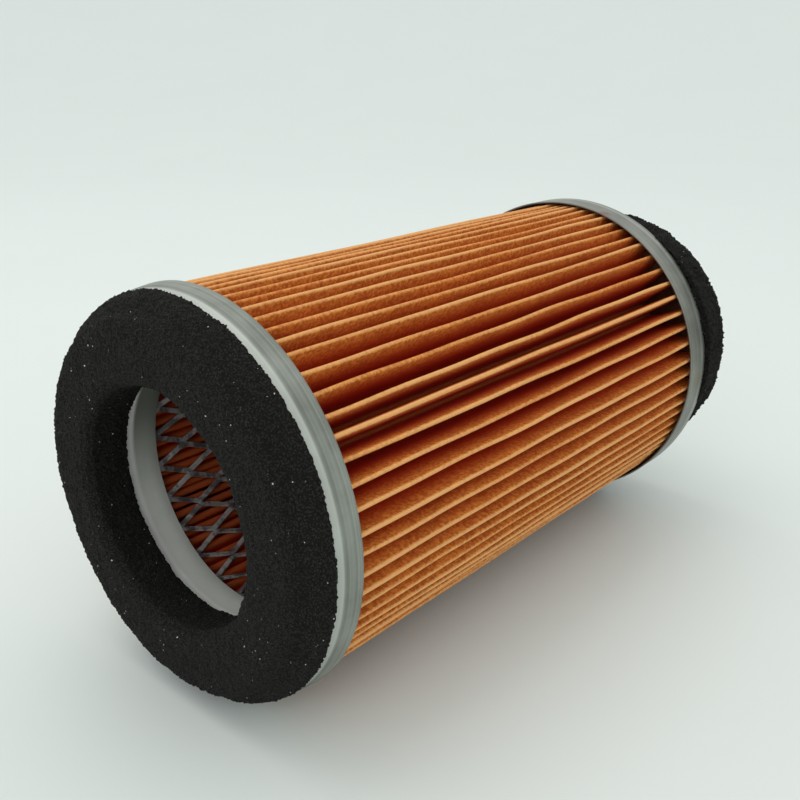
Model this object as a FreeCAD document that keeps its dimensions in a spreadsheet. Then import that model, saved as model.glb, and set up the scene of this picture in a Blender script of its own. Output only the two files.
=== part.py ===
"""Cylindrical pleated-paper air filter element, lying on its side.

Frame: millimetres, +Z up. The element's axis is +Y. The origin is on that axis, in the plane of
the open end cap's rim, inside the hole of the foam gasket that sits in the cap's recess. The open
end faces -Y and the closed end faces +Y, so the closed end cap's outer face is at
Y = element_length.
"""
import FreeCAD, Part
import math
import os
import Sketcher

V = FreeCAD.Vector
AXIS = V(0, 1, 0)

# Driving sizes in millimetres, counts and one angle in degrees.
SIZES = {
    # whole element
    "cap_radius": 48.5,           # outside of the end caps' skirts
    "element_length": 160.6,      # rim of the open cap to the outer face of the closed one
    # stamped end caps
    "sheet_gauge": 0.5,
    "collar_radius": 30.9,        # bore of the collar that is turned into the open end
    "collar_bend": 1.7,
    # open end cap: a folded rim round a face that is pressed in to hold the foam
    "rim_width": 2.1,
    "skirt_taper": 1.2,           # the rim's radius is smaller than the skirt's edge by this
    "recess_depth": 4.2,
    "recess_bend": 0.5,
    "collar_height": 9.3,         # from the recessed face to the collar's edge
    "front_skirt_cover": 0.4,     # the skirt reaches past the adhesive by this much
    # closed end cap: a flat face with its centre pressed in
    "skirt_bend": 2.2,            # outside radius of the bend between face and skirt
    "dish_depth": 4.2,
    "rear_skirt_cover": 7.5,
    # adhesive beds in the caps' channels
    "front_potting_depth": 1.5,
    "rear_potting_depth": 3.0,
    # core tube of expanded steel
    "core_clearance": 0.4,        # collar's outside to core's inside
    "core_gauge": 0.6,
    "diamonds_round": 24,
    "diamond_length": 16.0,       # long way of the mesh, along the axis
    "strand_width": 1.3,
    # pleated paper
    "pleat_count": 72,
    "paper_thickness": 0.45,
    "fold_width": 1.2,            # over the two layers that meet at a fold
    "paper_core_gap": 0.8,
    "paper_skirt_gap": 0.7,
    "seam_height": 5.0,
    "seam_angle": 270.0,          # the seam faces down, as the element lies
    # foam gaskets, cut from one thickness of foam
    "foam_thickness": 11.5,
    "foam_hole_radius": 28.3,
    "foam_rim_gap": 0.7,          # open end's ring to the rim round it
    "rear_foam_radius": 40.0,
    "rear_foam_shift_x": 10.0,    # the closed end's ring is glued on off centre
    "rear_foam_shift_z": 4.0,
    "glue_thickness": 0.3,
    "glue_setback": 2.0,          # the glue stops short of the foam's edges
}

# Sizes that follow from the driving ones, as spreadsheet formulas.
DERIVED = {
    "skirt_inside": "=cap_radius - sheet_gauge",
    "rim_radius": "=cap_radius - skirt_taper",
    "rim_channel": "=rim_radius - sheet_gauge",
    "rim_inside": "=rim_radius - rim_width",
    "rim_back": "=rim_radius - rim_width + sheet_gauge",
    "rim_bend": "=rim_width * 0.48",
    "rim_bend_inside": "=rim_width * 0.48 - sheet_gauge",
    "recess_back": "=recess_depth + sheet_gauge",
    "recess_bend_outside": "=recess_bend + sheet_gauge",
    "collar_outside": "=collar_radius + sheet_gauge",
    "collar_end": "=recess_depth + collar_height",
    "collar_bend_inside": "=collar_bend - sheet_gauge",
    "media_start": "=recess_depth + sheet_gauge + front_potting_depth",
    "front_skirt_edge": "=media_start + front_skirt_cover",
    "front_bed_radius": "=rim_channel + skirt_taper * (media_start - sheet_gauge)"
                        " / (front_skirt_edge - sheet_gauge)",
    "skirt_bend_inside": "=skirt_bend - sheet_gauge",
    "dish_face": "=element_length - dish_depth",
    "dish_back": "=element_length - dish_depth - sheet_gauge",
    "rear_channel": "=element_length - sheet_gauge",
    "media_end": "=element_length - sheet_gauge - rear_potting_depth",
    "rear_skirt_edge": "=media_end - rear_skirt_cover",
    "media_length": "=media_end - media_start",
    "core_inside": "=collar_radius + sheet_gauge + core_clearance",
    "core_outside": "=collar_radius + sheet_gauge + core_clearance + core_gauge",
    "pleat_root": "=core_outside + paper_core_gap",
    "pleat_tip": "=skirt_inside - paper_skirt_gap",
    "front_foam_radius": "=rim_inside - foam_rim_gap",
}


def make_sheet(doc):
    """The spreadsheet that holds every size under its own name."""
    sheet = doc.addObject("Spreadsheet::Sheet", "sizes")
    cells = [*SIZES.items(), *DERIVED.items()]
    for row, (name, content) in enumerate(cells, start=1):
        sheet.set(f"A{row}", name)
        sheet.setAlias(f"B{row}", name)
        sheet.set(f"B{row}", str(content))
    doc.recompute()
    return sheet


def origin_plane(body, role):
    """One of the body's own origin planes or axes, by its role."""
    return next(item for item in body.Origin.OriginFeatures if item.Role == role)


def revolved_body(doc, label, corners):
    """A body turned about Y from a closed outline of (radius, height) corners.

    Each corner is a pair of spreadsheet names, or "0" for a corner on the axis or in the datum
    plane, and is held by two named constraints.
    """
    body = doc.addObject("PartDesign::Body", label)
    sketch = body.newObject("Sketcher::SketchObject", f"{label}_outline")
    sketch.AttachmentSupport = [(origin_plane(body, "XY_Plane"), "")]
    sketch.MapMode = "FlatFace"
    values = [tuple(value_of(doc, name) for name in corner) for corner in corners]
    for start, end in zip(values, values[1:] + values[:1]):
        sketch.addGeometry(Part.LineSegment(V(*start, 0), V(*end, 0)), False)
    for index in range(len(corners)):
        following = (index + 1) % len(corners)
        sketch.addConstraint(Sketcher.Constraint("Coincident", index, 2, following, 1))
    for index, (radius, height) in enumerate(corners):
        place_point(sketch, index, "X", radius, f"radius_{index}")
        place_point(sketch, index, "Y", height, f"height_{index}")
    turned = body.newObject("PartDesign::Revolution", f"{label}_turned")
    turned.Profile = sketch
    turned.ReferenceAxis = (sketch, ["V_Axis"])
    turned.Angle = 360.0
    body.Tip = turned
    doc.recompute()
    return body


def value_of(doc, name):
    """A size from the sheet, or a plain zero."""
    return 0.0 if name == "0" else float(doc.sizes.get(name))


def place_point(sketch, line, direction, name, label):
    """Holds a line's start point at a named size along one sketch axis."""
    if name == "0":
        axis = -2 if direction == "X" else -1
        sketch.addConstraint(Sketcher.Constraint("PointOnObject", line, 1, axis))
        return
    size = value_of(sketch.Document, name)
    kind = f"Distance{direction}"
    number = sketch.addConstraint(Sketcher.Constraint(kind, -1, 1, line, 1, size))
    sketch.renameConstraint(number, label)
    sketch.setExpression(f"Constraints.{label}", f"sizes.{name}")


def circles_at(shape, radius, height):
    """Names of the circular edges of that radius about Y at that height."""
    found = []
    for number, edge in enumerate(shape.Edges, start=1):
        curve = edge.Curve
        if not isinstance(curve, Part.Circle):
            continue
        near = abs(curve.Radius - radius) < 1e-4 and abs(curve.Center.y - height) < 1e-4
        if near:
            found.append(f"Edge{number}")
    if not found:
        raise RuntimeError(f"no edge of radius {radius} at {height}")
    return found


def round_edges(doc, body, bends):
    """Rounds circular edges, each given as (radius name, height name, bend name)."""
    for step, (radius, height, bend) in enumerate(bends, start=1):
        base = body.Tip
        edges = circles_at(base.Shape, value_of(doc, radius), value_of(doc, height))
        fillet = body.newObject("PartDesign::Fillet", f"{body.Label}_bend_{step}")
        fillet.Base = (base, edges)
        fillet.setExpression("Radius", f"sizes.{bend}")
        body.Tip = fillet
        doc.recompute()


def make_front_cap(doc):
    """Open end cap: skirt, folded rim, recessed face and the collar turned in, one stamping."""
    body = revolved_body(doc, "front_end_cap", [
        ("cap_radius", "front_skirt_edge"), ("rim_radius", "0"),
        ("rim_inside", "0"), ("rim_inside", "recess_depth"),
        ("collar_radius", "recess_depth"), ("collar_radius", "collar_end"),
        ("collar_outside", "collar_end"), ("collar_outside", "recess_back"),
        ("rim_back", "recess_back"), ("rim_back", "sheet_gauge"),
        ("rim_channel", "sheet_gauge"), ("skirt_inside", "front_skirt_edge")])
    round_edges(doc, body, [
        ("rim_radius", "0", "rim_bend"),
        ("rim_inside", "0", "rim_bend"),
        ("rim_inside", "recess_depth", "recess_bend"),
        ("collar_radius", "recess_depth", "collar_bend"),
        ("collar_outside", "recess_back", "collar_bend_inside"),
        ("rim_back", "recess_back", "recess_bend_outside"),
        ("rim_back", "sheet_gauge", "rim_bend_inside"),
        ("rim_channel", "sheet_gauge", "rim_bend_inside")])
    return body


def make_front_potting(doc):
    """Adhesive behind the open cap's face and up inside its folded rim."""
    body = revolved_body(doc, "front_potting", [
        ("collar_outside", "recess_back"), ("rim_back", "recess_back"),
        ("rim_back", "sheet_gauge"), ("rim_channel", "sheet_gauge"),
        ("front_bed_radius", "media_start"), ("collar_outside", "media_start")])
    round_edges(doc, body, [
        ("collar_outside", "recess_back", "collar_bend_inside"),
        ("rim_back", "recess_back", "recess_bend_outside"),
        ("rim_back", "sheet_gauge", "rim_bend_inside"),
        ("rim_channel", "sheet_gauge", "rim_bend_inside")])
    return body


def make_rear_cap(doc):
    """Closed end cap: skirt, face ring and a dished centre, one stamping."""
    body = revolved_body(doc, "rear_end_cap", [
        ("cap_radius", "rear_skirt_edge"), ("cap_radius", "element_length"),
        ("collar_radius", "element_length"), ("collar_radius", "dish_face"),
        ("0", "dish_face"), ("0", "dish_back"),
        ("collar_outside", "dish_back"), ("collar_outside", "rear_channel"),
        ("skirt_inside", "rear_channel"), ("skirt_inside", "rear_skirt_edge")])
    round_edges(doc, body, [
        ("cap_radius", "element_length", "skirt_bend"),
        ("skirt_inside", "rear_channel", "skirt_bend_inside"),
        ("collar_radius", "element_length", "collar_bend"),
        ("collar_outside", "rear_channel", "collar_bend_inside")])
    return body


def make_rear_potting(doc):
    """Ring of adhesive that fills the closed cap's channel up to the media."""
    body = revolved_body(doc, "rear_potting", [
        ("collar_outside", "rear_channel"), ("skirt_inside", "rear_channel"),
        ("skirt_inside", "media_end"), ("collar_outside", "media_end")])
    round_edges(doc, body, [
        ("skirt_inside", "rear_channel", "skirt_bend_inside"),
        ("collar_outside", "rear_channel", "collar_bend_inside")])
    return body


def make_ring(doc, label, radii, start, height, shift=None):
    """Flat ring about Y as a cylinder cut by another, from a start along +Y.

    Args give spreadsheet formulas for the outer and inner radius, the start and the height. A
    shift is a pair of formulas that move the ring in X and Z.
    """
    solids = []
    for name, radius in zip(("disc", "hole"), radii):
        solid = doc.addObject("Part::Cylinder", f"{label}_{name}")
        solid.Placement = FreeCAD.Placement(V(), FreeCAD.Rotation(V(1, 0, 0), -90))
        solid.setExpression("Radius", radius)
        solid.setExpression("Height", height)
        solid.setExpression("Placement.Base.y", start)
        if shift:
            solid.setExpression("Placement.Base.x", shift[0])
            solid.setExpression("Placement.Base.z", shift[1])
        solids.append(solid)
    ring = doc.addObject("Part::Cut", label)
    ring.Base, ring.Tool = solids
    return ring


def glue_radii(foam_radius):
    """Formulas for a glue film's two radii, from the formula for its foam ring's outside."""
    return (f"{foam_radius} - sizes.glue_setback", "sizes.foam_hole_radius + sizes.glue_setback")


def make_front_gasket(doc):
    """Foam ring in the open cap's recess and the film of glue under it."""
    foam = ("sizes.front_foam_radius", "sizes.foam_hole_radius")
    make_ring(doc, "front_gasket_glue", glue_radii(foam[0]),
              "sizes.recess_depth - sizes.glue_thickness", "sizes.glue_thickness")
    make_ring(doc, "front_foam_gasket", foam,
              "sizes.recess_depth - sizes.glue_thickness - sizes.foam_thickness",
              "sizes.foam_thickness")


def make_rear_gasket(doc):
    """Foam ring on the closed end, off centre, and its glue."""
    foam = ("sizes.rear_foam_radius", "sizes.foam_hole_radius")
    shift = ("sizes.rear_foam_shift_x", "sizes.rear_foam_shift_z")
    make_ring(doc, "rear_gasket_glue", glue_radii(foam[0]),
              "sizes.element_length", "sizes.glue_thickness", shift)
    make_ring(doc, "rear_foam_gasket", foam,
              "sizes.element_length + sizes.glue_thickness", "sizes.foam_thickness", shift)


def around(radius, degrees, sideways=0.0):
    """Point in the XZ plane at a radius and angle, moved along the circle by a distance."""
    angle = math.radians(degrees) + sideways / radius
    return V(radius * math.cos(angle), 0, radius * math.sin(angle))


def pleat_sections(sheet):
    """Outer and inner zigzag of the folded sheet, as two closed wires about the axis."""
    root = float(sheet.pleat_root)
    tip = float(sheet.pleat_tip)
    paper = float(sheet.paper_thickness)
    half_fold = float(sheet.fold_width) / 2
    half_gap = half_fold - paper
    pitch = 360.0 / int(sheet.pleat_count)
    outer, inner = [], []
    for number in range(int(sheet.pleat_count)):
        crest = number * pitch
        valley = crest + pitch / 2
        outer += [around(tip, crest, -half_fold), around(tip, crest, half_fold),
                  around(root + paper, valley, -half_gap), around(root + paper, valley, half_gap)]
        inner += [around(tip - paper, crest, -half_gap), around(tip - paper, crest, half_gap),
                  around(root, valley, -half_fold), around(root, valley, half_fold)]
    return [Part.makePolygon(points + points[:1]) for points in (outer, inner)]


def make_paper(doc):
    """One sheet of pleated paper, closed on itself, between the two beds of adhesive."""
    outer, inner = pleat_sections(doc.sizes)
    section = doc.addObject("Part::Feature", "pleat_section")
    section.Shape = Part.makeFace([outer, inner], "Part::FaceMakerBullseye")
    paper = doc.addObject("Part::Extrusion", "pleated_paper")
    paper.Base = section
    paper.Dir = AXIS
    paper.Solid = True
    paper.setExpression("LengthFwd", "sizes.media_length")
    paper.setExpression("Placement.Base.y", "sizes.media_start")
    return paper


def make_seam(doc):
    """Bead of adhesive inside the pleat where the sheet's two ends meet."""
    sheet = doc.sizes
    paper = float(sheet.paper_thickness)
    half_fold = float(sheet.fold_width) / 2
    half_gap = half_fold - paper
    half_pitch = 180.0 / int(sheet.pleat_count)
    top = float(sheet.pleat_tip) - paper
    root = float(sheet.pleat_root)
    share = float(sheet.seam_height) / (top - root)
    pleat = round(float(sheet.seam_angle) / (2 * half_pitch)) * 2 * half_pitch
    corners = [around(top, pleat, -half_gap), around(top, pleat, half_gap)]
    for side in (1, -1):
        high = around(top, pleat, side * half_gap)
        low = around(root, pleat + side * half_pitch, -side * half_fold)
        corners.append(high + (low - high) * share)
    section = doc.addObject("Part::Feature", "seam_section")
    section.Shape = Part.Face(Part.makePolygon(corners + corners[:1]))
    seam = doc.addObject("Part::Extrusion", "paper_seam_bead")
    seam.Base = section
    seam.Dir = AXIS
    seam.Solid = True
    seam.setExpression("LengthFwd", "sizes.media_length")
    seam.setExpression("Placement.Base.y", "sizes.media_start")
    return seam


def diamond_openings(sheet):
    """The mesh's openings as diamond prisms through the tube wall, rows in staggered order."""
    inside = float(sheet.core_inside)
    outside = float(sheet.core_outside)
    around_count = int(sheet.diamonds_round)
    row_pitch = float(sheet.diamond_length) / 2
    margin = float(sheet.strand_width)
    middle = float(sheet.media_start) + float(sheet.media_length) / 2
    rows = int((float(sheet.media_length) - 2 * margin) / row_pitch) - 1
    half_wide = math.pi * outside / around_count - margin / 2
    half_long = row_pitch * half_wide / (math.pi * outside / around_count)
    openings = []
    for row in range(rows):
        centre = middle + (row - (rows - 1) / 2) * row_pitch
        corners = [V(-half_wide, centre, inside - 1), V(0, centre - half_long, inside - 1),
                   V(half_wide, centre, inside - 1), V(0, centre + half_long, inside - 1)]
        prism = Part.Face(Part.makePolygon(corners + corners[:1])).extrude(
            V(0, 0, outside - inside + 2))
        for place in range(around_count):
            turned = prism.copy()
            turned.rotate(V(), AXIS, 360.0 / around_count * (place + row % 2 / 2))
            openings.append(turned)
    return Part.makeCompound(openings)


def make_core(doc):
    """Tube of expanded steel that holds the pleats out."""
    walls = []
    for name, radius in (("core_round", "sizes.core_outside"), ("core_bore", "sizes.core_inside")):
        wall = doc.addObject("Part::Cylinder", name)
        wall.Placement = FreeCAD.Placement(V(), FreeCAD.Rotation(V(1, 0, 0), -90))
        wall.setExpression("Radius", radius)
        wall.setExpression("Height", "sizes.media_length")
        wall.setExpression("Placement.Base.y", "sizes.media_start")
        walls.append(wall)
    tube = doc.addObject("Part::Cut", "core_wall")
    tube.Base, tube.Tool = walls
    openings = doc.addObject("Part::Feature", "core_openings")
    openings.Shape = diamond_openings(doc.sizes)
    core = doc.addObject("Part::Cut", "core_tube")
    core.Base = tube
    core.Tool = openings
    return core


NODES = (
    "front_foam_gasket", "front_gasket_glue", "front_end_cap", "front_potting",
    "pleated_paper", "paper_seam_bead", "core_tube",
    "rear_potting", "rear_end_cap", "rear_gasket_glue", "rear_foam_gasket",
)


def check_document(doc):
    """Stops if an object failed or a sub-part's shape isn't one sound solid."""
    for item in doc.Objects:
        if {"Invalid", "Error"} & set(item.State):
            raise RuntimeError(f"{item.Label} failed: {item.State}")
    for label in NODES:
        shape = doc.getObjectsByLabel(label)[0].Shape
        if shape.isNull() or not shape.isValid() or len(shape.Solids) != 1:
            raise RuntimeError(f"{label} isn't one valid solid")
        print(f"{label}: {shape.Volume / 1000:.2f} cm3")


def main():
    """Builds the element and writes one STEP file for each sub-part."""
    doc = FreeCAD.newDocument("air_filter")
    make_sheet(doc)
    make_front_cap(doc)
    make_rear_cap(doc)
    make_front_potting(doc)
    make_rear_potting(doc)
    make_paper(doc)
    make_seam(doc)
    make_core(doc)
    make_front_gasket(doc)
    make_rear_gasket(doc)
    doc.recompute()
    check_document(doc)
    os.makedirs("parts", exist_ok=True)
    for label in NODES:
        doc.getObjectsByLabel(label)[0].Shape.exportStep(f"parts/{label}.step")


main()
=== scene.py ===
"""Looks of a cylindrical air filter element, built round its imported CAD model.

Lengths are in metres in the CAD model's own frame: +Z is up, the element's axis is +Y, and the
origin is in the plane of the open end cap's rim. A size written in millimetres is multiplied by
MM.
"""
import logging
import math
from dataclasses import dataclass, field
from enum import Enum

import bpy
import numpy as np
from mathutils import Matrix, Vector


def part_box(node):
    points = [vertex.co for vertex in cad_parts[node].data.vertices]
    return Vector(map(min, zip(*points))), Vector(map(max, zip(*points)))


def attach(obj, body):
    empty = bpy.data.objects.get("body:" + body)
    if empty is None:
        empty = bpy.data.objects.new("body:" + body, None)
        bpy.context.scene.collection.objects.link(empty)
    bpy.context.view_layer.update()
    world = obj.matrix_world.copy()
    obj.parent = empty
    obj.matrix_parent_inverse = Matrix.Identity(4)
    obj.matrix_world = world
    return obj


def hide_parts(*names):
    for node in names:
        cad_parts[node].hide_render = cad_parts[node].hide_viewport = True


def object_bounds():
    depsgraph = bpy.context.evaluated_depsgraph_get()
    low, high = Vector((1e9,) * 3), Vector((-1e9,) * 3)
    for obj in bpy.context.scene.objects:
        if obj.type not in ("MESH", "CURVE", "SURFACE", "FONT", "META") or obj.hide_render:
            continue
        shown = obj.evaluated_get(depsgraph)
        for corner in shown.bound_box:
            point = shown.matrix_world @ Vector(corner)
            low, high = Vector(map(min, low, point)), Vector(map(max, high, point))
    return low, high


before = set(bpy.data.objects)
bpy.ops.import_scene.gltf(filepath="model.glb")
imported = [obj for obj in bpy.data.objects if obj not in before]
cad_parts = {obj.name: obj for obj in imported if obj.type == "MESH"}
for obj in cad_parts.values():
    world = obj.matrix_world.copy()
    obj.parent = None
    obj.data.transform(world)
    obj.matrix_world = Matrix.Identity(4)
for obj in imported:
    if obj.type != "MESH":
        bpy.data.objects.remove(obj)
CAD_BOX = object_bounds()

MM = 0.001
BODY = "root"
LOG = logging.getLogger("air_filter")


# ---------------------------------------------------------------------------------------------
# Modelling by operators
# ---------------------------------------------------------------------------------------------

def deselect() -> None:
    """Leaves edit mode and deselects every object."""
    active = bpy.context.view_layer.objects.active
    if active is not None and active.mode != "OBJECT":
        bpy.ops.object.mode_set(mode="OBJECT")
    bpy.ops.object.select_all(action="DESELECT")


def pick(*pieces: bpy.types.Object) -> None:
    """Selects the pieces alone, with the first one active."""
    deselect()
    for piece in pieces:
        piece.select_set(True)
    bpy.context.view_layer.objects.active = pieces[0]


def named(name: str) -> bpy.types.Object:
    """Names the object that an operator has just added, and its mesh, and settles its place.

    Args:
        name: the piece's name.

    Returns:
        The object, at the origin, unturned and unscaled.
    """
    piece = bpy.context.object
    piece.name = name
    piece.data.name = name
    pick(piece)
    bpy.ops.object.transform_apply(location=True, rotation=True, scale=True)
    return piece


def finish_modifiers(piece: bpy.types.Object) -> None:
    """Applies the piece's modifiers in order."""
    pick(piece)
    for modifier in list(piece.modifiers):
        bpy.ops.object.modifier_apply(modifier=modifier.name)


def clean(piece: bpy.types.Object, distance: float = 1e-6) -> None:
    """Merges the piece's doubles and turns its faces outwards.

    Args:
        piece: the mesh object.
        distance: how near two vertices have to be to merge.
    """
    pick(piece)
    bpy.ops.object.mode_set(mode="EDIT")
    bpy.ops.mesh.select_all(action="SELECT")
    bpy.ops.mesh.remove_doubles(threshold=distance)
    bpy.ops.mesh.normals_make_consistent(inside=False)
    bpy.ops.object.mode_set(mode="OBJECT")


def smooth(piece: bpy.types.Object, degrees: float) -> None:
    """Shades the piece smooth, with edges sharper than an angle kept."""
    pick(piece)
    bpy.ops.object.shade_smooth_by_angle(angle=math.radians(degrees))


def points_of(piece: bpy.types.Object) -> np.ndarray:
    """The piece's vertices as an array of rows x, y, z."""
    flat = np.empty(len(piece.data.vertices) * 3)
    piece.data.vertices.foreach_get("co", flat)
    return flat.reshape(-1, 3)


def move_points(piece: bpy.types.Object, points: np.ndarray) -> None:
    """Puts the piece's vertices at these places."""
    piece.data.vertices.foreach_set("co", points.ravel())
    piece.data.update()


@dataclass(frozen=True)
class Turn:
    """A point of a turned outline.

    Args:
        radius: distance from the axis.
        height: place along the axis.
    """

    radius: float
    height: float


def bend(radius: float, height: float, size: float, start: float, end: float,
         steps: int) -> list[Turn]:
    """Points of an arc in a turned outline.

    Args:
        radius: distance of the arc's centre from the axis.
        height: place of the arc's centre along the axis.
        size: the arc's own radius.
        start: first angle in degrees, where 0 points away from the axis and 90 along it.
        end: last angle in degrees.
        steps: number of pieces that the arc is divided into.

    Returns:
        The points in order.
    """
    angles = [math.radians(start + (end - start) * step / steps) for step in range(steps + 1)]
    return [Turn(radius + size * math.cos(a), height + size * math.sin(a)) for a in angles]


def turn(name: str, outline: list[Turn], sides: int, closed: bool = False) -> bpy.types.Object:
    """Turns an outline about the axis: a circle that is extruded and resized ring by ring.

    Args:
        name: the piece's name.
        outline: the points, each a ring of the piece.
        sides: number of vertices of a ring.
        closed: whether the last ring joins the first one.

    Returns:
        The turned shell, with no thickness of its own.
    """
    deselect()
    bpy.ops.mesh.primitive_circle_add(
        vertices=sides, radius=outline[0].radius, fill_type="NOTHING",
        location=(0, outline[0].height, 0), rotation=(math.pi / 2, 0, 0))
    piece = named(name)
    bpy.ops.object.mode_set(mode="EDIT")
    bpy.ops.mesh.select_all(action="SELECT")
    steps = outline + outline[:1] if closed else outline
    for before, after in zip(steps, steps[1:]):
        bpy.ops.mesh.extrude_region_move(
            TRANSFORM_OT_translate={"value": (0, after.height - before.height, 0)})
        size = after.radius / before.radius
        bpy.ops.transform.resize(value=(size, 1, size), center_override=(0, 0, 0))
    bpy.ops.object.mode_set(mode="OBJECT")
    clean(piece)
    return piece


def close_pole(piece: bpy.types.Object, reach: float) -> None:
    """Merges the vertices that are near the axis into one.

    Args:
        piece: a shell that turn() has made.
        reach: how far from the axis a vertex may be to count as near.
    """
    points = points_of(piece)
    near = np.hypot(points[:, 0], points[:, 2]) < reach
    pick(piece)
    bpy.ops.object.mode_set(mode="EDIT")
    bpy.ops.mesh.select_mode(type="VERT")
    bpy.ops.mesh.select_all(action="DESELECT")
    bpy.ops.object.mode_set(mode="OBJECT")
    for vertex, chosen in zip(piece.data.vertices, near):
        vertex.select = bool(chosen)
    bpy.ops.object.mode_set(mode="EDIT")
    bpy.ops.mesh.merge(type="CENTER")
    bpy.ops.object.mode_set(mode="OBJECT")
    clean(piece)


# ---------------------------------------------------------------------------------------------
# Shader maths
# ---------------------------------------------------------------------------------------------

@dataclass(frozen=True)
class Signal:
    """A socket's output, which can be used in arithmetic with numbers and other signals.

    Args:
        shader: the shader that the socket belongs to.
        socket: the output socket.
    """

    shader: "Shader"
    socket: bpy.types.NodeSocket

    def _math(self, operation: str, *values: object) -> "Signal":
        """A Math node of that operation on the values."""
        return self.shader.node("Math", {"operation": operation}, *values)

    def __add__(self, other: object) -> "Signal":
        """The sum."""
        return self._math("ADD", self, other)

    __radd__ = __add__

    def __mul__(self, other: object) -> "Signal":
        """The product."""
        return self._math("MULTIPLY", self, other)

    __rmul__ = __mul__

    def __rsub__(self, other: object) -> "Signal":
        """The difference from a plain number."""
        return self._math("SUBTRACT", other, self)

    def __pow__(self, other: object) -> "Signal":
        """The power."""
        return self._math("POWER", self, other)

    def ramp(self, low: float, high: float) -> "Signal":
        """Zero below low, one above high, and a smooth step between them."""
        return self.shader.node(
            "MapRange", {"interpolation_type": "SMOOTHSTEP"}, self, low, high, 0.0, 1.0)


class Shader:
    """A material under construction, round one Principled BSDF."""

    def __init__(self, name: str) -> None:
        """Starts a material with its shader and output alone."""
        self.material = bpy.data.materials.new(name)
        self.material.use_nodes = True
        self.tree = self.material.node_tree
        self.surface = self.tree.nodes["Principled BSDF"]

    def node(self, kind: str, settings: dict, *values: object, out: object = 0) -> Signal:
        """Adds any node.

        Args:
            kind: the node's type without its ShaderNode prefix.
            settings: the node's own settings.
            values: values or signals for its first inputs, with None where one keeps its own.
            out: the number or name of the output that is wanted.

        Returns:
            The output as a signal.
        """
        node = self.tree.nodes.new(f"ShaderNode{kind}")
        for key, setting in settings.items():
            setattr(node, key, setting)
        sockets = [socket for socket in node.inputs if socket.enabled]
        for socket, value in zip(sockets, values):
            if value is not None:
                self._feed(socket, value)
        return Signal(self, node.outputs[out])

    def _feed(self, socket: bpy.types.NodeSocket, value: object) -> None:
        """Links a signal to an input, or sets a plain value on it."""
        if isinstance(value, Signal):
            self.tree.links.new(value.socket, socket)
        elif socket.type == "RGBA":
            socket.default_value = (*value, 1.0)
        else:
            socket.default_value = value

    def set(self, **inputs: object) -> None:
        """Gives the Principled BSDF's inputs values or signals, with _ for a space in a name."""
        for key, value in inputs.items():
            self._feed(self.surface.inputs[key.replace("_", " ")], value)

    def place(self) -> Signal:
        """Object coordinates, in metres."""
        return self.node("TexCoord", {}, out="Object")

    def axes(self) -> tuple[Signal, Signal, Signal]:
        """The three object coordinates apart."""
        split = self.node("SeparateXYZ", {}, self.place())
        return tuple(Signal(self, output) for output in split.socket.node.outputs)

    def radius(self) -> Signal:
        """Distance from the element's axis."""
        x, _, z = self.axes()
        return (x * x + z * z) ** 0.5

    def noise(self, scale: float, detail: float = 2.0, rough: float = 0.5,
              where: object = None) -> Signal:
        """Noise from 0 to 1 at a scale in cells for each metre."""
        where = self.place() if where is None else where
        return self.node("TexNoise", {}, where, scale, detail, rough)

    def cells(self, scale: float) -> Signal:
        """Distance to the nearest Voronoi point at a scale in cells for each metre."""
        return self.node("TexVoronoi", {"feature": "F1"}, self.place(), scale, out="Distance")

    def mix(self, share: object, first: object, second: object) -> Signal:
        """Mixes two colours."""
        return self.node("MixRGB", {}, share, first, second)

    def bump(self, height: Signal, distance: float, strength: float = 1.0) -> Signal:
        """Normal from a height of 0 to 1 times a distance in metres."""
        bumped = self.node("Bump", {}, strength)
        node = bumped.socket.node
        node.inputs["Distance"].default_value = distance
        self._feed(node.inputs["Height"], height)
        return bumped


# ---------------------------------------------------------------------------------------------
# Finishes
# ---------------------------------------------------------------------------------------------

@dataclass(frozen=True)
class FoamFinish:
    """Charcoal open-cell foam: fine pores, paler strands and a few painted glints, bright specks
    standing for light caught by single strands.
    """

    strand: tuple = (0.030, 0.029, 0.027)
    pore: tuple = (0.005, 0.0045, 0.004)
    # Colour of the painted glints: bright specks standing for light off single strands.
    painted_glint: tuple = (0.60, 0.58, 0.55)
    pores_per_metre: float = 2200.0

    def make(self) -> bpy.types.Material:
        """The foam's material."""
        shader = Shader("charcoal_foam")
        pores = shader.cells(self.pores_per_metre)
        fine = shader.noise(self.pores_per_metre * 1.4, 3.0, 0.65)
        depth = (pores * 1.1 + fine * 0.7).ramp(0.45, 1.0)
        cloud = shader.noise(160.0, 3.0, 0.6).ramp(0.25, 0.75)
        colour = shader.mix(depth, self.strand, self.pore)
        colour = shader.mix(cloud * 0.3, colour, self.pore)
        # Painted glints: a few bright specks standing for light caught by single strands.
        glint_mask = shader.noise(self.pores_per_metre * 0.5, 1.0, 0.5).ramp(0.76, 0.80)
        colour = shader.mix(glint_mask, colour, self.painted_glint)
        shader.set(Base_Color=colour, Roughness=0.92, Specular_IOR_Level=0.2,
                   Normal=shader.bump(1.0 - depth, 0.15 * MM, 0.7))
        return shader.material


@dataclass(frozen=True)
class Stain:
    """A mark that handling or glue has left on a surface.

    Args:
        place: its middle.
        reach: distance at which it fades out.
        colour: its colour.
    """

    place: tuple
    reach: float
    colour: tuple


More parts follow.
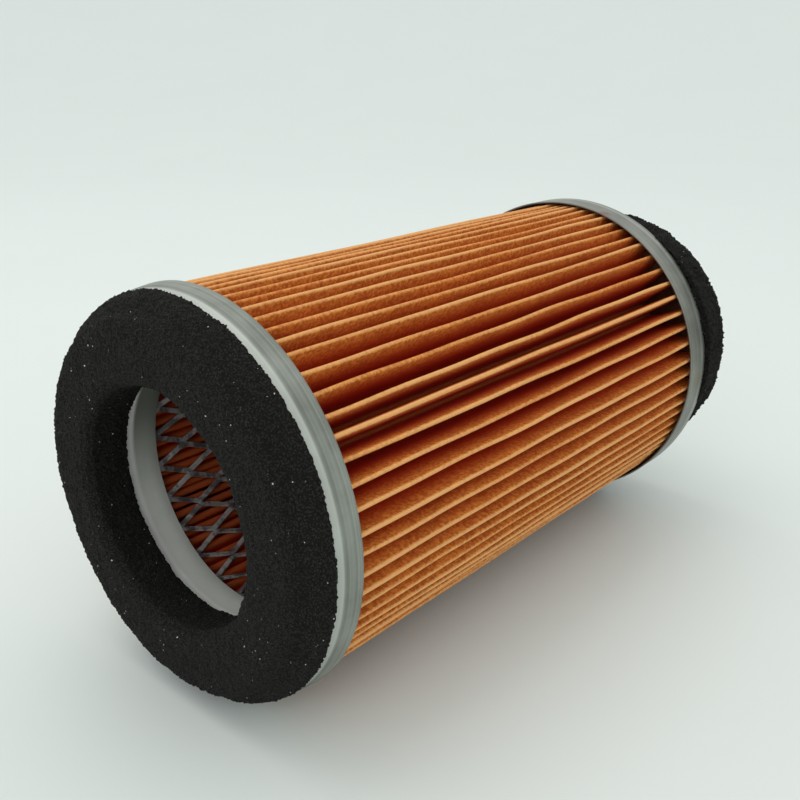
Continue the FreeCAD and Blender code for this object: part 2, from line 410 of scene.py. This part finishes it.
@dataclass(frozen=True)
class ZincFinish:
    """Zinc-plated sheet: satin, with faint rings from the press and a cloudy passivation; painted
    highlight on a band round the skirt, in the bore and along the collar's lip, and painted shade
    towards the top of the bore.

    Args:
        name: the material's name.
        light: the plating where it is clean.
        dark: the plating where it is dull, and the painted shade towards the top of the bore.
        painted_highlight: the painted highlight colour, for the band round the skirt and for the
            bore.
        bright: the painted highlight colour along the collar's lip.
        highlight_band: where the painted highlight band round the skirt starts and ends along the
            axis.
        bore: radius inside which the plating takes the painted highlight colour too, or 0.
        lip: where the painted highlight along the collar's lip starts to fade and ends along the
            axis.
        shade: the heights over which the bore goes from its painted highlight, below, to painted
            shade, above.
        stains: marks on the plating.
    """

    name: str = "zinc_plate"
    light: tuple = (0.30, 0.32, 0.285)
    dark: tuple = (0.15, 0.163, 0.14)
    painted_highlight: tuple = (0.74, 0.77, 0.72)
    bright: tuple = (0.97, 0.98, 0.95)
    highlight_band: tuple = (-1.0 * MM, 1.9 * MM)
    bore: float = 36.0 * MM
    stains: tuple = ()
    lip: tuple = (6.4 * MM, 7.6 * MM)
    shade: tuple = (-16.0 * MM, 16.0 * MM)

    def make(self) -> bpy.types.Material:
        """The end cap's material."""
        shader = Shader(self.name)
        _, y, z = shader.axes()
        radius = shader.radius()
        rings = shader.node("CombineXYZ", {}, radius * 40.0, y * 40.0, 0.0)
        lines = shader.noise(30.0, 4.0, 0.7, rings)
        cloud = shader.noise(70.0, 4.0, 0.6)
        grain = shader.noise(2600.0, 2.0, 0.6)
        dull = (lines * 0.6 + cloud * 0.4).ramp(0.36, 0.66)
        colour = shader.mix(dull, self.dark, self.light)
        start, end = self.highlight_band
        wobble = y + lines * 0.4 * MM
        # Painted highlight: a lighter band round the skirt, standing for the light caught by the
        # rounded shoulder.
        strip = wobble.ramp(start - 0.4 * MM, start) * (1.0 - wobble.ramp(end, end + 0.5 * MM))
        inside = 1.0 - radius.ramp(self.bore - 1.0 * MM, self.bore)
        colour = shader.mix(strip * 0.42, colour, self.painted_highlight)
        # Painted highlight: the bore lighter than its light makes it, in clouds.
        colour = shader.mix(inside * (0.62 + cloud * 0.4), colour, self.painted_highlight)
        # Painted shade: the bore darker towards its top.
        colour = shader.mix(inside * z.ramp(*self.shade), colour, self.dark)
        # Painted highlight: a bright line along the collar's lip.
        lip = inside * (1.0 - wobble.ramp(*self.lip))
        colour = shader.mix(lip * 0.9, colour, self.bright)
        for stain in self.stains:
            away = shader.node("VectorMath", {"operation": "DISTANCE"}, shader.place(),
                               stain.place, out="Value")
            mark = 1.0 - (away + cloud * stain.reach).ramp(0.5 * stain.reach, 1.5 * stain.reach)
            colour = shader.mix(mark * 0.75, colour, stain.colour)
        rough = 0.38 + cloud * 0.16 + grain * 0.06
        height = lines * 0.6 + grain * 0.4
        shader.set(Base_Color=colour, Metallic=0.5 - inside * 0.45, Roughness=rough,
                   Normal=shader.bump(height, 0.02 * MM, 0.5))
        return shader.material


@dataclass(frozen=True)
class PaperFinish:
    """Resin-treated filter paper: orange tan, mottled fibres, painted highlight along the crests,
    painted shade darkening and reddening towards the roots, and a browner painted tone at the
    roots standing for light through the paper.
    """

    fibre: tuple = (0.70, 0.24, 0.038)
    resin: tuple = (0.38, 0.088, 0.008)
    # The crest colour is a painted highlight, the deep colour painted shade towards the roots, and
    # the inner colour painted light through the paper at the roots.
    crest: tuple = (0.80, 0.43, 0.165)
    deep: tuple = (0.56, 0.026, 0.002)
    inner: tuple = (0.30, 0.085, 0.020)

    def make(self, tip: float, root: float) -> bpy.types.Material:
        """The paper's material.

        Args:
            tip: distance from the axis to the folds' crests.
            root: distance from the axis to the folds' roots.
        """
        shader = Shader("filter_paper")
        radius = shader.radius()
        mottle = shader.noise(1100.0, 4.0, 0.7)
        cloud = shader.noise(120.0, 3.0, 0.6)
        colour = shader.mix((mottle * 0.8 + cloud * 0.2).ramp(0.38, 0.64), self.resin, self.fibre)
        # Painted shade: the paper darker and redder towards the roots of the folds.
        valley_shade = 1.0 - radius.ramp(root + 5.0 * MM, tip + 0.6 * MM)
        colour = shader.mix(valley_shade, colour, self.deep)
        # Painted light: a browner tone right at the roots, standing for light shining through the
        # paper there, seen inside the core.
        colour = shader.mix((1.0 - radius.ramp(root + 0.4 * MM, root + 1.4 * MM)) * 0.7, colour,
                            self.inner)
        # Painted highlight: paler paper along the crests, where the folds catch the light.
        crest_highlight = (radius + mottle * 0.6 * MM).ramp(tip - 0.4 * MM, tip + 0.4 * MM)
        colour = shader.mix(crest_highlight * 0.8, colour, self.crest)
        shader.set(Base_Color=colour, Roughness=0.86, Specular_IOR_Level=0.25,
                   Normal=shader.bump(mottle, 0.12 * MM, 0.7))
        return shader.material


@dataclass(frozen=True)
class SteelMeshFinish:
    """Plated expanded steel, dull, in darker and lighter clouds."""

    light: tuple = (0.74, 0.76, 0.76)
    dark: tuple = (0.22, 0.225, 0.23)

    def make(self) -> bpy.types.Material:
        """The core's material."""
        shader = Shader("expanded_steel")
        cloud = shader.noise(300.0, 3.0, 0.6)
        grain = shader.noise(3000.0, 2.0, 0.6)
        colour = shader.mix(cloud.ramp(0.38, 0.58), self.dark, self.light)
        shader.set(Base_Color=colour, Metallic=0.7, Roughness=0.30 + grain * 0.2,
                   Normal=shader.bump(grain, 0.03 * MM, 0.5))
        return shader.material


@dataclass(frozen=True)
class GlueFinish:
    """Cured adhesive: smooth, slightly glossy, uneven in depth."""

    name: str
    thick: tuple
    thin: tuple
    roughness: float = 0.4

    def make(self) -> bpy.types.Material:
        """The adhesive's material."""
        shader = Shader(self.name)
        cloud = shader.noise(220.0, 3.0, 0.6)
        wave = shader.noise(500.0, 2.0, 0.5)
        colour = shader.mix(cloud.ramp(0.3, 0.7), self.thick, self.thin)
        shader.set(Base_Color=colour, Roughness=self.roughness + cloud * 0.15,
                   Normal=shader.bump(wave, 0.2 * MM, 0.5))
        return shader.material


@dataclass(frozen=True)
class FloorFinish:
    """Pale matt board that curves up all round, far behind the element."""

    colour: tuple = (0.73, 0.775, 0.755)

    def make(self) -> bpy.types.Material:
        """The floor's material."""
        shader = Shader("pale_board")
        cloud = shader.noise(9.0, 3.0, 0.5)
        tone = shader.mix(cloud, tuple(0.97 * c for c in self.colour), self.colour)
        shader.set(Base_Color=tone, Roughness=0.6)
        return shader.material


# ---------------------------------------------------------------------------------------------
# The element's pieces
# ---------------------------------------------------------------------------------------------

@dataclass
class Piece:
    """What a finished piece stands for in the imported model."""

    stands_for: str
    slot: str

    def seat(self, piece: bpy.types.Object, material: bpy.types.Material) -> None:
        """Dresses the piece and ties it to the frame."""
        piece.data.materials.clear()
        piece.data.materials.append(material)
        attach(piece, BODY)
        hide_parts(self.stands_for)
        LOG.info("%s: %d faces", piece.name, len(piece.data.polygons))


def cap_radius() -> float:
    """Outside radius of the end caps, from the CAD model."""
    low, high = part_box("front_end_cap")
    return (high[0] - low[0]) / 2


@dataclass
class EndCaps:
    """The two stamped end caps.

    Args:
        gauge: the sheet's thickness.
        rim_width: width of the open cap's folded rim.
        skirt_taper: how much smaller the rim's radius is than the skirt's edge.
        rim_bend: outside radius of the rim's two bends.
        recess_depth: how far the open cap's face lies behind its rim.
        recess_bend: radius of the corner between rim and face.
        front_skirt: height of the open cap's skirt.
        skirt_bend: outside radius of the closed cap's bend between face and skirt.
        collar: bore of the collar, and of the closed cap's dish.
        shoulder_height: height of the steeper band between the open cap's rim and skirt.
        shoulder_step: how much that band adds to the rim's radius.
        collar_bend: radius of the bend into the collar.
        collar_flare: how much the collar widens at its end.
        dish_depth: how far the closed cap's centre is pressed in.
        dish_bend: radius of the corner at the bottom of the dish.
        sides: number of vertices round a cap.
    """

    gauge: float = 0.5 * MM
    rim_width: float = 2.1 * MM
    skirt_taper: float = 1.2 * MM
    rim_bend: float = 0.9 * MM
    recess_depth: float = 4.2 * MM
    recess_bend: float = 0.5 * MM
    front_skirt: float = 6.6 * MM
    shoulder_height: float = 2.5 * MM
    shoulder_step: float = 0.75 * MM
    skirt_bend: float = 2.2 * MM
    collar: float = 30.9 * MM
    collar_bend: float = 1.7 * MM
    collar_flare: float = 0.15 * MM
    dish_depth: float = 4.2 * MM
    dish_bend: float = 1.0 * MM
    sides: int = 288
    front_finish: ZincFinish = ZincFinish()
    # The closed cap's plating: a darker copy of the zinc as painted shade, with a painted
    # highlight band on its skirt, and real stains.
    rear_finish: ZincFinish = ZincFinish(
        "zinc_plate_shaded", (0.29, 0.295, 0.265), (0.13, 0.135, 0.115),
        (0.46, 0.48, 0.45), (0.5, 0.5, 0.5), (156.6 * MM, 157.8 * MM), 0.0, (
            Stain((14 * MM, 151.5 * MM, 46.4 * MM), 2.5 * MM, (0.22, 0.06, 0.05)),
            Stain((48.5 * MM, 154.5 * MM, -0.5 * MM), 4.0 * MM, (0.20, 0.18, 0.10))))

    def skirt_edge(self, height: float) -> list[Turn]:
        """The skirt's end, where the sheet is crimped in a little."""
        rim = cap_radius()
        return [Turn(rim + 0.02 * MM, height), Turn(rim + 0.02 * MM, height - 0.5 * MM),
                Turn(rim - 0.05 * MM, height - 1.1 * MM)]

    def into_collar(self, face: float) -> list[Turn]:
        """The bend from a flat face at a height into the collar."""
        start = self.collar + self.collar_bend
        return [Turn(start + 5.0 * MM, face),
                *bend(start, face + self.collar_bend, self.collar_bend, -90, -180, 6)]

    def thicken(self, piece: bpy.types.Object) -> None:
        """Gives the turned face the sheet's thickness, towards the adhesive."""
        solid = piece.modifiers.new("gauge", "SOLIDIFY")
        solid.thickness = self.gauge
        solid.offset = -1.0
        round_off = piece.modifiers.new("edge", "BEVEL")
        round_off.width = 0.12 * MM
        round_off.segments = 2
        round_off.limit_method = "ANGLE"
        round_off.angle_limit = math.radians(50)
        finish_modifiers(piece)
        smooth(piece, 40)

    def front(self) -> None:
        """Open cap: folded rim, recessed face and the collar turned in."""
        _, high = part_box("front_end_cap")
        rim, collar_end = cap_radius() - self.skirt_taper, high[1]
        inside = rim - self.rim_width
        corner = self.recess_bend
        outline = [
            *self.skirt_edge(self.front_skirt),
            Turn(rim + self.shoulder_step + 0.1 * MM, self.shoulder_height + 0.35 * MM),
            Turn(rim + self.shoulder_step, self.shoulder_height),
            *bend(rim - self.rim_bend, self.rim_bend, self.rim_bend, 0, -90, 6),
            *bend(inside + self.rim_bend, self.rim_bend, self.rim_bend, -90, -180, 6),
            *bend(inside - corner, self.recess_depth - corner, corner, 0, 90, 4),
            *self.into_collar(self.recess_depth),
            Turn(self.collar, collar_end - 3.0 * MM),
            Turn(self.collar + self.collar_flare, collar_end),
        ]
        piece = turn("front_cap_stamping", outline, self.sides)
        self.thicken(piece)
        Piece("front_end_cap", "zinc_sheet").seat(piece, self.front_finish.make())

    def rear(self) -> None:
        """Closed cap with its dished centre."""
        low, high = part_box("rear_end_cap")
        rim, face = cap_radius(), high[1]
        bowl = self.dish_bend
        outline = [
            *self.skirt_edge(high[1] - low[1]),
            *bend(rim - self.skirt_bend, self.skirt_bend, self.skirt_bend, 0, -90, 8),
            *self.into_collar(0.0),
            *bend(self.collar - bowl, self.dish_depth - bowl, bowl, 0, 90, 4),
            Turn(20.0 * MM, self.dish_depth), Turn(2.0 * MM, self.dish_depth),
        ]
        outline = [Turn(point.radius, face - point.height) for point in outline]
        piece = turn("rear_cap_stamping", outline, self.sides)
        close_pole(piece, 3.0 * MM)
        self.thicken(piece)
        Piece("rear_end_cap", "zinc_sheet").seat(piece, self.rear_finish.make())


@dataclass(frozen=True)
class Ring:
    """One foam gasket's shape.

    Args:
        name: the piece's name.
        node: the CAD node whose place it takes.
        hole: the hole's radius.
        undercut: how much the hole widens towards the cap.
        lip: how far the free face's edge stands back from the ring's greatest radius.
        bulge: how far the ring swells past its node's own radius, just clear of the cap.
        bulge_at: where it swells, as a share of the way from the cap to the free face.
        edge: how far the free face's edges are rounded.
        wear: how ragged the skin is, 1 for an almost new ring.
        away: 1 if the free face looks along +Y, else -1.
    """

    name: str
    node: str
    hole: float
    undercut: float
    lip: float
    bulge: float
    bulge_at: float
    edge: float
    wear: float
    away: int


@dataclass
class FoamRings:
    """The foam gaskets: die-cut rings, softened by wear at their edges, with a ragged skin.

    Args:
        voxel: size of the cells that the rings are remeshed with.
        shoulder: radius of the closed cap's bend, which the ring there follows.
        sag_height: how far from the glued face that ring stops following it.
        sag_share: how much of the bend it follows, and a little more so that it touches.
        seat_wall: how far inside the caps' radius the open cap's recess keeps the foam.
        seat_rim: how far inside the caps' radius the open cap's rim ends.
        seat_depth: how far behind the rim foam counts as in the recess, not on the rim.
        seat_gap: how far in front of the rim the foam lies on it.
        material: the foam.
    """

    voxel: float = 0.4 * MM
    shoulder: float = 2.2 * MM
    sag_height: float = 5.0 * MM
    sag_share: float = 1.1
    seat_wall: float = 3.5 * MM
    seat_rim: float = 1.15 * MM
    seat_depth: float = 0.8 * MM
    seat_gap: float = 0.05 * MM
    material: bpy.types.Material = field(default_factory=lambda: FoamFinish().make())

    def outline(self, ring: Ring, outer: float, thickness: float) -> list[Turn]:
        """The ring's closed outline, with the cap at height 0 and the free face above it.

        Args:
            ring: the ring's shape.
            outer: radius of the ring where the cap holds it.
            thickness: distance from the cap to the free face.

        Returns:
            The outline's points in order.
        """
        swell = outer + ring.bulge
        free = thickness - ring.edge
        rim = swell - ring.lip
        return [
            Turn(ring.hole + ring.undercut, 0.0),
            Turn(ring.hole + 0.3 * ring.undercut, 0.35 * thickness), Turn(ring.hole, free),
            Turn(ring.hole + 0.5 * ring.edge, free + 0.65 * ring.edge),
            Turn(ring.hole + 1.4 * ring.edge, thickness),
            Turn((ring.hole + rim) / 2, thickness),
            Turn(rim - 1.4 * ring.edge, thickness),
            Turn(rim - 0.45 * ring.edge, free + 0.65 * ring.edge),
            Turn(rim, free - 0.3 * ring.edge),
            Turn(swell - 0.3 * ring.lip, (free + ring.bulge_at * thickness) / 2),
            Turn(swell, ring.bulge_at * thickness),
            Turn(outer + 0.2 * ring.bulge, (ring.bulge_at - 0.05) * thickness),
            Turn(outer, 0.0),
        ]

    def build(self, ring: Ring) -> None:
        """Turns the ring, puts it in its node's place and gives it its skin."""
        low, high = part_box(ring.node)
        back = low[1] if ring.away > 0 else high[1]
        outline = [Turn(point.radius, back + ring.away * point.height) for point in
                   self.outline(ring, (high[0] - low[0]) / 2, high[1] - low[1])]
        piece = turn(ring.name, outline, 160, closed=True)
        points = points_of(piece)
        points[:, 0] += (high[0] + low[0]) / 2
        points[:, 2] += (high[2] + low[2]) / 2
        move_points(piece, points)
        piece.data.remesh_voxel_size = self.voxel
        pick(piece)
        bpy.ops.object.voxel_remesh()
        if ring.away > 0:
            self.drape(piece, back)
        self.roughen(piece, ring.wear)
        if ring.away < 0:
            self.press(piece, back)
        smooth(piece, 180)
        Piece(ring.node, "foam").seat(piece, self.material)

    def drape(self, piece: bpy.types.Object, back: float) -> None:
        """Lets the glued face follow the cap's rounded shoulder where it reaches past it."""
        points = points_of(piece)
        start = cap_radius() - self.shoulder
        over = np.clip(np.hypot(points[:, 0], points[:, 2]) - start, 0.0, self.shoulder)
        sag = self.shoulder - np.sqrt(self.shoulder ** 2 - over ** 2)
        near = np.clip(1.0 - (points[:, 1] - back) / self.sag_height, 0.0, 1.0)
        points[:, 1] -= self.sag_share * sag * near
        move_points(piece, points)

    def press(self, piece: bpy.types.Object, back: float) -> None:
        """Presses the open end's ring flat on the cap's rim and off the recess's wall.

        Args:
            piece: the ring.
            back: where its glued face lies along the axis.
        """
        points = points_of(piece)
        radius = np.hypot(points[:, 0], points[:, 2])
        wall, rim = cap_radius() - self.seat_wall, cap_radius() - self.seat_rim
        sunk = (radius > wall) & (radius < rim) & (points[:, 1] > -self.seat_gap)
        deep = sunk & (points[:, 1] > self.seat_depth)
        points[sunk & ~deep, 1] = -self.seat_gap
        pull = np.where(deep, wall / radius, 1.0)
        points[:, 0] *= pull
        points[:, 2] *= pull
        points[:, 1] = np.minimum(points[:, 1], back)
        move_points(piece, points)

    def roughen(self, piece: bpy.types.Object, wear: float) -> None:
        """Gives the skin slow swells and open pores.

        Args:
            piece: the ring.
            wear: how ragged the skin is.
        """
        for label, kind, scale, depth in (
                ("swell", "CLOUDS", 9.0 * MM / wear, 0.8 * MM * wear),
                ("ragged", "CLOUDS", 0.8 * MM, 0.75 * MM * wear),
                ("pores", "VORONOI", 0.55 * MM, 0.5 * MM * wear)):
            texture = bpy.data.textures.new(f"{piece.name}_{label}", kind)
            texture.noise_scale = scale
            push = piece.modifiers.new(label, "DISPLACE")
            push.texture = texture
            push.texture_coords = "LOCAL"
            push.strength = depth
            push.mid_level = 0.5
        finish_modifiers(piece)

    def front(self) -> None:
        """The wide ring on the open end, which bulges over the cap's rim."""
        self.build(Ring("front_foam_ring", "front_foam_gasket", hole=28.3 * MM,
                        undercut=0.5 * MM, lip=4.0 * MM, bulge=3.4 * MM, bulge_at=0.33,
                        edge=1.9 * MM, wear=1.0, away=-1))

    def rear(self) -> None:
        """The ring on the closed end, off centre."""
        self.build(Ring("rear_foam_ring", "rear_foam_gasket", hole=28.3 * MM,
                        undercut=0.0, lip=1.0 * MM, bulge=0.2 * MM, bulge_at=0.3,
                        edge=2.6 * MM, wear=1.7, away=1))


@dataclass
class PleatedPaper:
    """The folded sheet of filter paper.

    Args:
        pleats: number of folds round the element.
        paper: the sheet's thickness.
        crest: distance from the axis to the folds' crests.
        root: distance from the axis to their roots.
        fold: half the width over the two layers at a fold.
        rows: number of faces along a fold.
        crowding: how far the folds bunch, in degrees, in waves round the element.
        crowding_waves: number of those waves.
        crowding_turn: place of a wave's middle, in degrees from -X over the top.
    """

    pleats: int = 72
    paper: float = 0.42 * MM
    crest: float = 47.3 * MM
    root: float = 33.4 * MM
    fold: float = 0.55 * MM
    rows: int = 36
    crowding: float = 4.1
    crowding_waves: int = 3
    crowding_turn: float = 155.0

    def half_fold(self) -> list[tuple[float, float, float]]:
        """Half a pleat from root to crest: radius, sideways distance, and share of the crest."""
        lean = self.fold * math.sqrt(0.5)
        points = [(self.root, 0.0, 0.0),
                  (self.root + self.fold - lean, lean, 0.0),
                  (self.root + self.fold, self.fold, 0.0)]
        low, high = self.root + self.fold, self.crest - self.fold
        for share in (1 / 3, 2 / 3):
            points.append((low + (high - low) * share, self.fold, share))
        points += [(high, self.fold, 1.0), (self.crest - self.fold + lean, lean, 1.0)]
        return points

    def build(self) -> None:
        """A flat sheet that is folded row by row and closed on itself."""
        low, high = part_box("pleated_paper")
        half = self.half_fold()
        steps = 2 * len(half)
        columns = self.pleats * steps
        deselect()
        bpy.ops.mesh.primitive_grid_add(x_subdivisions=columns, y_subdivisions=self.rows, size=2.0)
        piece = named("paper_pleats")
        flat = points_of(piece)
        column = np.rint((flat[:, 0] + 1) / 2 * columns).astype(int)
        share = (flat[:, 1] + 1) / 2
        pleat, step = column // steps, column % steps
        rising = step <= len(half)
        table = np.array(half + [(self.crest, 0.0, 1.0)])
        point = table[np.where(rising, step, steps - step)]
        side = np.where(rising, 1.0, -1.0)
        crest_at = self.crest_angles(share)
        root_at = self.root_angles(crest_at)
        rows = np.arange(len(flat))
        crest = crest_at[pleat % self.pleats, rows]
        before = root_at[pleat % self.pleats, rows]
        after = root_at[(pleat + 1) % self.pleats, rows]
        turns = 2 * np.pi * (pleat // self.pleats)
        before = before + turns
        after = np.where((pleat + 1) % self.pleats == 0, after + 2 * np.pi, after) + turns
        crest = crest + turns
        valley = np.where(rising, before, after)
        radius, aside, lift = point[:, 0], point[:, 1], point[:, 2]
        radius = radius + lift * self.crest_rise(pleat % self.pleats, share)
        at_root = valley + side * aside / radius
        at_crest = crest - side * aside / radius
        angle = at_root + (at_crest - at_root) * lift
        points = np.stack([-radius * np.cos(angle), low[1] + (high[1] - low[1]) * share,
                           radius * np.sin(angle)], axis=1)
        move_points(piece, points)
        clean(piece, 1e-7)
        self.turn_outwards(piece)
        solid = piece.modifiers.new("paper", "SOLIDIFY")
        solid.thickness = self.paper
        solid.offset = -1.0
        finish_modifiers(piece)
        smooth(piece, 60)
        Piece("pleated_paper", "filter_paper").seat(
            piece, PaperFinish().make(self.crest, self.root))

    def turn_outwards(self, piece: bpy.types.Object) -> None:
        """Flips the sheet if its crests' faces point at the axis."""
        mesh = piece.data
        total = 0.0
        for face in mesh.polygons:
            outward = Vector((face.center.x, 0, face.center.z))
            if outward.length > self.crest - 0.3 * MM:
                total += face.normal.dot(outward)
        if total < 0:
            mesh.flip_normals()

    def crest_angles(self, share: np.ndarray) -> np.ndarray:
        """Each crest's angle in radians at each vertex's place along the fold."""
        rng = np.random.default_rng(7)
        even = 360.0 / self.pleats * np.arange(self.pleats)
        bunched = even + self.crowding * np.sin(
            np.radians(self.crowding_waves * (even - self.crowding_turn)))
        jitter = rng.normal(0.0, 0.28, self.pleats)
        lean = rng.normal(0.0, 0.18, self.pleats)
        phase = rng.uniform(0, 2 * np.pi, (3, self.pleats))
        size = rng.uniform(0.03, 0.16, (3, self.pleats))
        start = np.radians(bunched + jitter)[:, None]
        along = share[None, :]
        wave = lean[:, None] * (along - 0.5)
        for order, waves in enumerate((1.0, 2.3, 4.1)):
            wave = wave + size[order][:, None] * np.sin(
                2 * np.pi * waves * along + phase[order][:, None])
        return start + np.radians(wave)

    def root_angles(self, crests: np.ndarray) -> np.ndarray:
        """The angle of the root before each crest, halfway from the crest before it."""
        before = np.roll(crests, 1, axis=0)
        before[0] -= 2 * np.pi
        return (before + crests) / 2

    def crest_rise(self, pleat: np.ndarray, share: np.ndarray) -> np.ndarray:
        """How far each crest stands off its nominal radius at its place along the fold."""
        rng = np.random.default_rng(11)
        level = rng.normal(0.0, 0.16, self.pleats)
        phase = rng.uniform(0, 2 * np.pi, self.pleats)
        rise = level[pleat] + 0.12 * np.sin(2 * np.pi * 1.7 * share + phase[pleat])
        return np.clip(rise, -0.5, 0.3) * MM


@dataclass
class SteelCore:
    """The tube of expanded steel.

    Args:
        ribbons: zigzag ribbons round the tube, two for each diamond.
        pitch: length of a diamond along the axis.
        strand: width of a ribbon.
        gauge: the sheet's thickness.
        radius: distance from the axis to the ribbons' middle.
        lean: how far the ribbons are twisted out of the tube, in degrees.
    """

    ribbons: int = 48
    pitch: float = 16.0 * MM
    strand: float = 1.35 * MM
    gauge: float = 0.5 * MM
    radius: float = 32.1 * MM
    lean: float = 22.0

    def build(self) -> None:
        """Zigzag ribbons, each joined to its neighbours at its bends."""
        low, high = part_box("core_tube")
        length = high[1] - low[1]
        steps_per_pitch = 12
        steps = round(length / self.pitch * steps_per_pitch)
        made = []
        for number in range(self.ribbons):
            deselect()
            bpy.ops.mesh.primitive_grid_add(x_subdivisions=2, y_subdivisions=steps, size=2.0)
            ribbon = named(f"ribbon_{number}")
            self.roll(ribbon, number, low[1], length)
            made.append(ribbon)
        pick(*made)
        bpy.ops.object.join()
        piece = named("core_expanded_mesh")
        solid = piece.modifiers.new("gauge", "SOLIDIFY")
        solid.thickness = self.gauge
        solid.offset = 0.0
        finish_modifiers(piece)
        smooth(piece, 35)
        Piece("core_tube", "mesh_steel").seat(piece, SteelMeshFinish().make())

    def roll(self, ribbon: bpy.types.Object, number: int, start: float, length: float) -> None:
        """Bends one flat ribbon into its zigzag round the tube."""
        flat = points_of(ribbon)
        across, along = flat[:, 0], (flat[:, 1] + 1) / 2 * length
        spacing = 2 * math.pi * self.radius / self.ribbons
        swing = (spacing - 0.85 * self.strand) / 2
        phase = along / self.pitch + 0.5 * (number % 2)
        wave = 2 * np.abs(2 * (phase - np.floor(phase + 0.5))) - 1
        wave = np.clip(wave * 1.12, -1.0, 1.0)
        middle = number * spacing + swing * wave
        tilt = math.radians(self.lean)
        aside = middle + across * self.strand / 2 * math.cos(tilt)
        radius = self.radius + across * self.strand / 2 * math.sin(tilt)
        angle = aside / self.radius
        points = np.stack([-radius * np.cos(angle), start + along,
                           radius * np.sin(angle)], axis=1)
        move_points(ribbon, points)


class Adhesive(Enum):
    """The adhesives that carried-over CAD nodes are made of."""

    CONTACT = GlueFinish("contact_glue", (0.03, 0.02, 0.01), (0.06, 0.04, 0.02), 0.35)
    POTTING = GlueFinish("potting_bed", (0.045, 0.014, 0.005), (0.10, 0.035, 0.012), 0.45)


@dataclass
class AdhesiveBeds:
    """The CAD nodes that stay as they are: beds, glue films and the seam's bead."""

    nodes: dict = field(default_factory=lambda: {
        "front_gasket_glue": Adhesive.CONTACT, "rear_gasket_glue": Adhesive.CONTACT,
        "front_potting": Adhesive.POTTING, "rear_potting": Adhesive.POTTING,
        "paper_seam_bead": Adhesive.POTTING})

    def dress(self) -> None:
        """Gives each node its adhesive's material."""
        made = {kind: kind.value.make() for kind in Adhesive}
        for name, kind in self.nodes.items():
            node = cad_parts[name]
            node.data.materials.clear()
            node.data.materials.append(made[kind])
            LOG.info("%s dressed as %s", name, kind.value.name)


# ---------------------------------------------------------------------------------------------
# Floor, light and camera
# ---------------------------------------------------------------------------------------------

@dataclass
class Studio:
    """The pale board, the soft lights and the camera.

    Args:
        eye: the camera's place.
        look: the direction it looks in.
        focal: its focal length in millimetres, for a sensor 36 mm wide.
        board_radius: radius of the board's flat part.
        sweep: radius of the board's upward sweep.
    """

    eye: tuple = (156.9 * MM, -104.6 * MM, 94.3 * MM)
    look: tuple = (-0.6209, 0.6971, -0.3585)
    focal: float = 41.27
    board_radius: float = 0.9
    sweep: float = 2.2

    def board(self) -> None:
        """Round board that the element lies on, whose edge sweeps up far behind it."""
        outline = [Turn(0.02, 0.0), Turn(self.board_radius, 0.0),
                   *bend(self.board_radius, self.sweep, self.sweep, -90, -40, 16)]
        floor = turn("pale_floor", outline, 96)
        close_pole(floor, 0.03)
        floor.rotation_euler = (math.pi / 2, 0, 0)
        floor.location = (0, 0, CAD_BOX[0][2])
        pick(floor)
        bpy.ops.object.transform_apply(location=True, rotation=True, scale=True)
        smooth(floor, 60)
        floor.data.materials.append(FloorFinish().make())

    def camera(self) -> None:
        """Camera at the element's front right, looking down its side."""
        data = bpy.data.cameras.new("camera")
        data.lens = self.focal
        data.sensor_width = 36.0
        data.clip_start = 0.01
        camera = bpy.data.objects.new("camera", data)
        bpy.context.scene.collection.objects.link(camera)
        camera.location = self.eye
        camera.rotation_euler = Vector(self.look).to_track_quat("-Z", "Y").to_euler()
        bpy.context.scene.camera = camera

    def lamp(self, name: str, place: tuple, size: float, power: float, colour: tuple) -> None:
        """Square soft light that faces the element."""
        data = bpy.data.lights.new(name, "AREA")
        data.shape = "SQUARE"
        data.size = size
        data.energy = power
        data.color = colour
        lamp = bpy.data.objects.new(name, data)
        bpy.context.scene.collection.objects.link(lamp)
        lamp.location = place
        aim = Vector((0, 0.07, 0)) - Vector(place)
        lamp.rotation_euler = aim.to_track_quat("-Z", "Y").to_euler()

    def light(self) -> None:
        """Soft light from above and the left, with a pale surrounding."""
        self.lamp("soft_key", (-0.35, 0.0, 1.1), 0.8, 2.3, (1.0, 0.99, 0.97))
        self.lamp("front_fill", (0.35, -0.9, 0.5), 0.5, 1.5, (1.0, 0.99, 0.98))
        world = bpy.data.worlds.new("room")
        world.use_nodes = True
        ground = world.node_tree.nodes["Background"]
        ground.inputs["Color"].default_value = (0.94, 0.97, 0.955, 1.0)
        ground.inputs["Strength"].default_value = 1.0
        bpy.context.scene.world = world
        bpy.context.scene.view_settings.view_transform = "Standard"

    def build(self) -> None:
        """All of the studio."""
        self.camera()
        self.board()
        self.light()


def main() -> None:
    """Builds and dresses the element, then the studio round it."""
    logging.basicConfig(level=logging.INFO)
    Studio().build()
    caps = EndCaps()
    caps.front()
    caps.rear()
    rings = FoamRings()
    rings.front()
    rings.rear()
    PleatedPaper().build()
    SteelCore().build()
    AdhesiveBeds().dress()
    deselect()


if __name__ == "__main__":
    main()
